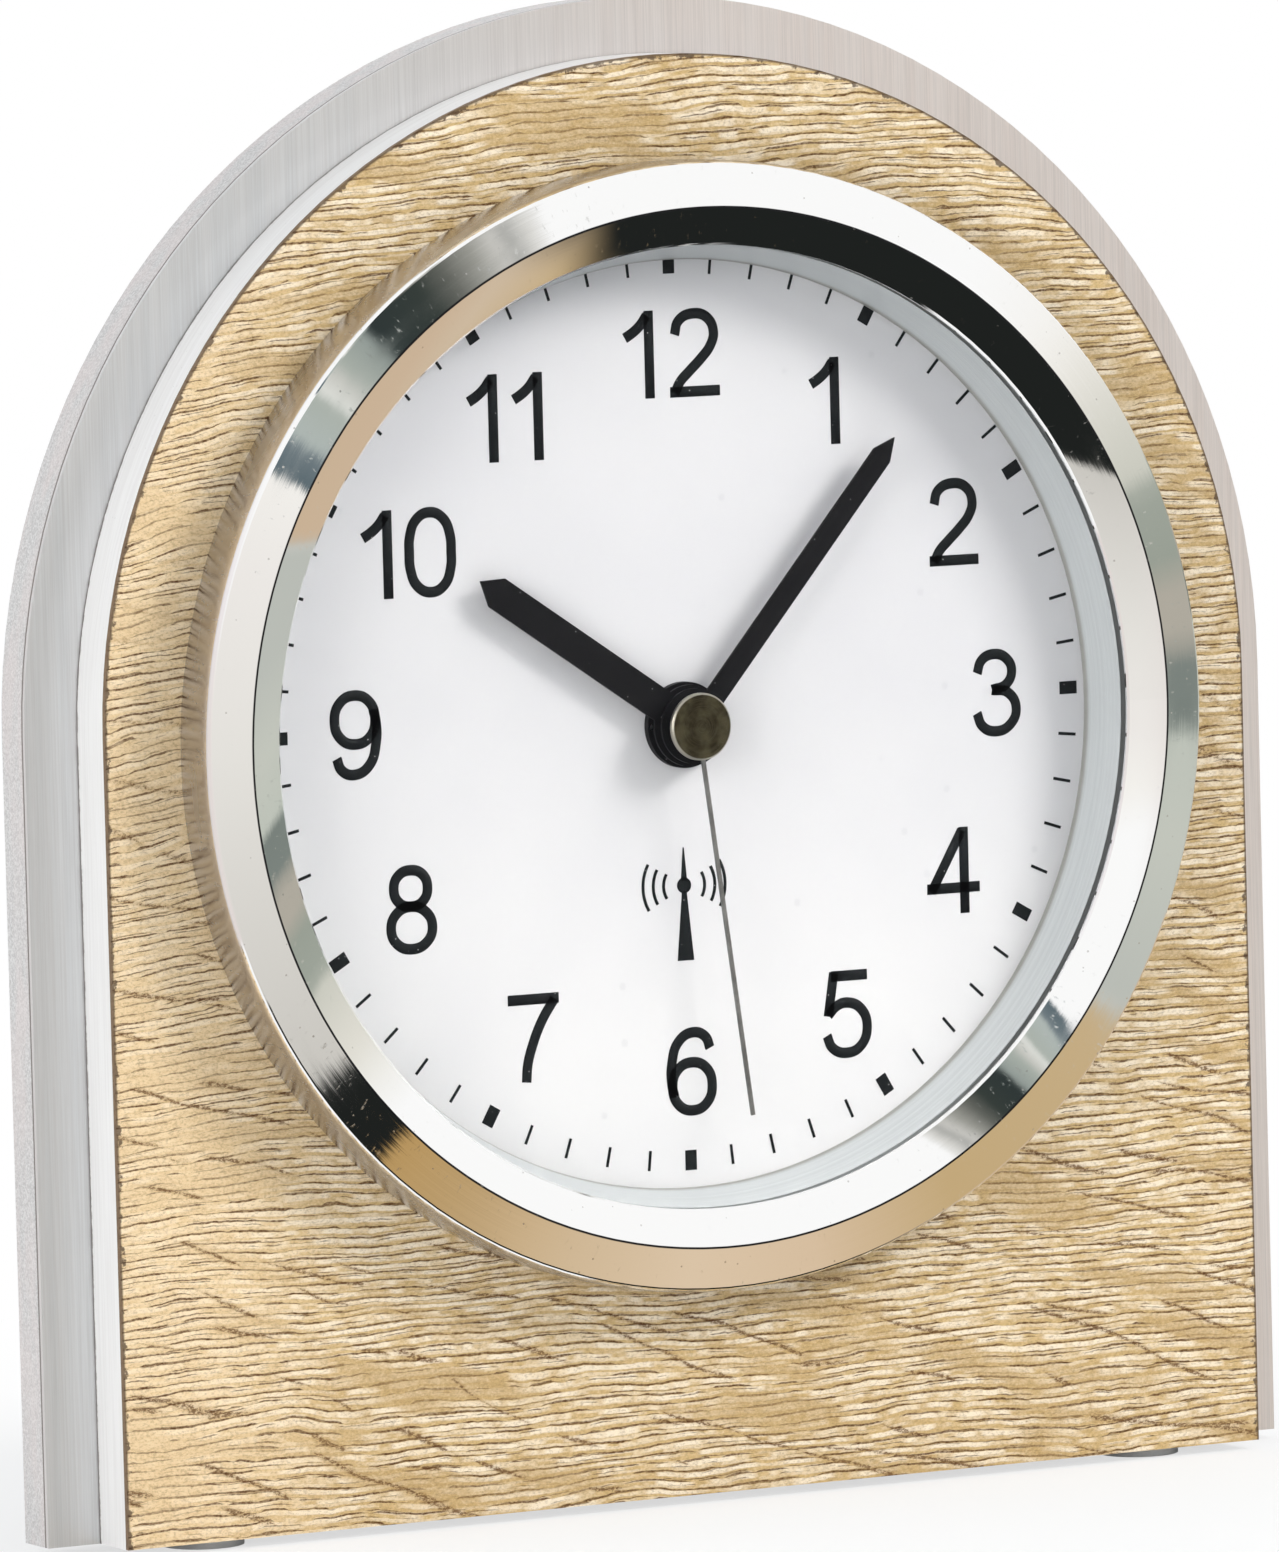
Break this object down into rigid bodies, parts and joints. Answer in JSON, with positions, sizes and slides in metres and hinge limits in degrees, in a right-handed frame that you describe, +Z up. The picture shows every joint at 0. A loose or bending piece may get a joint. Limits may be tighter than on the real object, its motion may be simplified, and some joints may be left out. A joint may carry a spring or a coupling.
{
  "type": "radio-controlled table clock",
  "caption": "Arched table clock of two stacked boards with a round metal bezel under flat glass, white dial with black hands, and a radio-controlled movement with meshing wheels behind.",
  "frame": {"origin": "middle of the space the clock stands on, on the surface under the felt pads", "axes": "+Z up, -Y out of the dial towards the viewer, +X to the viewer's right"},
  "size_m": [0.179, 0.05, 0.1922],
  "materials": {
    "oak_laminate": "satin laminate with horizontal grain",
    "front_edge": "fibreboard with a pale silver-white edge band",
    "brushed_aluminium": "fine upright brushing",
    "back_edge": "fibreboard with a matt speckled pale edge",
    "screw_brass": "zinc-yellow screw",
    "foot_finish": "black painted fibreboard",
    "felt": "pale felt",
    "bezel_chrome": "polished",
    "clear_glass": "clear mineral glass",
    "black_rubber": "matt",
    "pale_rubber": "translucent, seen behind the glass",
    "ring_grey": "satin pale grey",
    "dial_white": "matt white coat with a black print",
    "spring_steel": "plain steel",
    "hand_black": "matt black lacquer",
    "cap_bronze": "dark nickel, spun",
    "second_grey": "grey lacquer",
    "case_black": "moulded, fine grain",
    "nickel": "nickelled steel",
    "brass": "turned",
    "wheel_white": "acetal",
    "wheel_amber": "acetal",
    "inner_grey": "moulded",
    "ferrite": "sintered",
    "copper_wire": "enamelled winding",
    "board_green": "solder mask",
    "chip_black": "resin drop",
    "cell_blue": "plain sleeve",
    "button_grey": "moulded"
  },
  "bodies": {
    "clock": {"wood_veneer": "oak_laminate", "front_board": "front_edge", "aluminium_sheet": "brushed_aluminium", "back_board": "back_edge", "board_screws": "screw_brass", "foot_bar": "foot_finish", "foot_screws": "screw_brass", "felt_pads": "felt", "bezel_ring": "bezel_chrome", "glass": "clear_glass", "glass_gasket": "pale_rubber", "dial_ring": "ring_grey", "dial": "dial_white", "retaining_ring": "spring_steel", "insert_seal": "black_rubber", "case_front": "case_black", "case_rear": "case_black", "case_screws": "nickel", "centre_bushing": "brass", "centre_nut": "hand_black", "rubber_washer": "black_rubber", "middle_plate": "inner_grey", "rear_bridge": "inner_grey", "bridge_screws": "nickel", "motor_stators": "spring_steel", "motor_bobbins": "wheel_white", "motor_windings": "copper_wire", "circuit_board": "board_green", "chip_cover": "chip_black", "crystal_cans": "nickel", "dome_switches": "nickel", "ferrite_rod": "ferrite", "antenna_bobbin": "wheel_white", "antenna_winding": "copper_wire", "battery_cell": "cell_blue", "positive_contact": "nickel", "negative_contact": "nickel"},
    "minute_hand_body": {"minute_wheel": "wheel_amber", "minute_hand": "hand_black", "minute_collet": "hand_black"},
    "hour_hand_body": {"hour_wheel": "wheel_white", "hour_hand": "hand_black", "hour_collet": "hand_black"},
    "motion_wheel_body": {"motion_wheel": "wheel_white"},
    "minute_second_wheel_body": {"minute_second_wheel": "wheel_white"},
    "minute_first_wheel_body": {"minute_first_wheel": "wheel_white"},
    "minute_rotor_body": {"minute_rotor": "wheel_white", "minute_magnet": "ferrite"},
    "second_hand_body": {"second_wheel": "wheel_white", "second_arbor": "nickel", "second_hand": "second_grey", "second_cap": "cap_bronze"},
    "second_first_wheel_body": {"second_first_wheel": "wheel_white"},
    "second_rotor_body": {"second_rotor": "wheel_white", "second_magnet": "ferrite"},
    "set_button_body": {"set_button": "button_grey"},
    "receive_button_body": {"receive_button": "button_grey"},
    "reset_button_body": {"reset_button": "button_grey"}
  },
  "joints": [
    {"name": "minute_hand_turn", "type": "hinge", "parent": "clock", "child": "minute_hand_body", "pos_m": [0, -0.0177, 0.0997], "axis": [0, 1, 0], "continuous": true},
    {"name": "hour_hand_turn", "type": "hinge", "parent": "clock", "child": "hour_hand_body", "pos_m": [0, -0.0167, 0.0997], "axis": [0, 1, 0], "continuous": true},
    {"name": "motion_wheel_turn", "type": "hinge", "parent": "clock", "child": "motion_wheel_body", "pos_m": [0, -0.0083, 0.1081], "axis": [0, 1, 0], "continuous": true},
    {"name": "minute_second_wheel_turn", "type": "hinge", "parent": "clock", "child": "minute_second_wheel_body", "pos_m": [-0.00789, -0.0083, 0.10257], "axis": [0, 1, 0], "continuous": true},
    {"name": "minute_first_wheel_turn", "type": "hinge", "parent": "clock", "child": "minute_first_wheel_body", "pos_m": [-0.01612, -0.0083, 0.09958], "axis": [0, 1, 0], "continuous": true},
    {"name": "minute_rotor_turn", "type": "hinge", "parent": "clock", "child": "minute_rotor_body", "pos_m": [-0.02391, -0.0083, 0.10408], "axis": [0, 1, 0], "continuous": true},
    {"name": "second_hand_turn", "type": "hinge", "parent": "clock", "child": "second_hand_body", "pos_m": [0, -0.0187, 0.0997], "axis": [0, 1, 0], "continuous": true},
    {"name": "second_first_wheel_turn", "type": "hinge", "parent": "clock", "child": "second_first_wheel_body", "pos_m": [0.01151, -0.0083, 0.10389], "axis": [0, 1, 0], "continuous": true},
    {"name": "second_rotor_turn", "type": "hinge", "parent": "clock", "child": "second_rotor_body", "pos_m": [0.01931, -0.0083, 0.09939], "axis": [0, 1, 0], "continuous": true},
    {"name": "set_button_press", "type": "slide", "parent": "clock", "child": "set_button_body", "axis": [0, -1, 0], "range_m": [0, 0.0005], "stiffness_N_per_m": 900},
    {"name": "receive_button_press", "type": "slide", "parent": "clock", "child": "receive_button_body", "axis": [0, -1, 0], "range_m": [0, 0.0005], "stiffness_N_per_m": 900},
    {"name": "reset_button_press", "type": "slide", "parent": "clock", "child": "reset_button_body", "axis": [0, -1, 0], "range_m": [0, 0.0005], "stiffness_N_per_m": 900}
  ],
  "couplings": [
    {"joint": "hour_hand_turn", "follows": "minute_hand_turn", "ratio": 0.083333},
    {"joint": "motion_wheel_turn", "follows": "minute_hand_turn", "ratio": -0.33333},
    {"joint": "minute_second_wheel_turn", "follows": "minute_hand_turn", "ratio": -3},
    {"joint": "minute_first_wheel_turn", "follows": "minute_hand_turn", "ratio": 12},
    {"joint": "minute_rotor_turn", "follows": "minute_hand_turn", "ratio": -60},
    {"joint": "second_first_wheel_turn", "follows": "second_hand_turn", "ratio": -6},
    {"joint": "second_rotor_turn", "follows": "second_hand_turn", "ratio": 30}
  ]
}
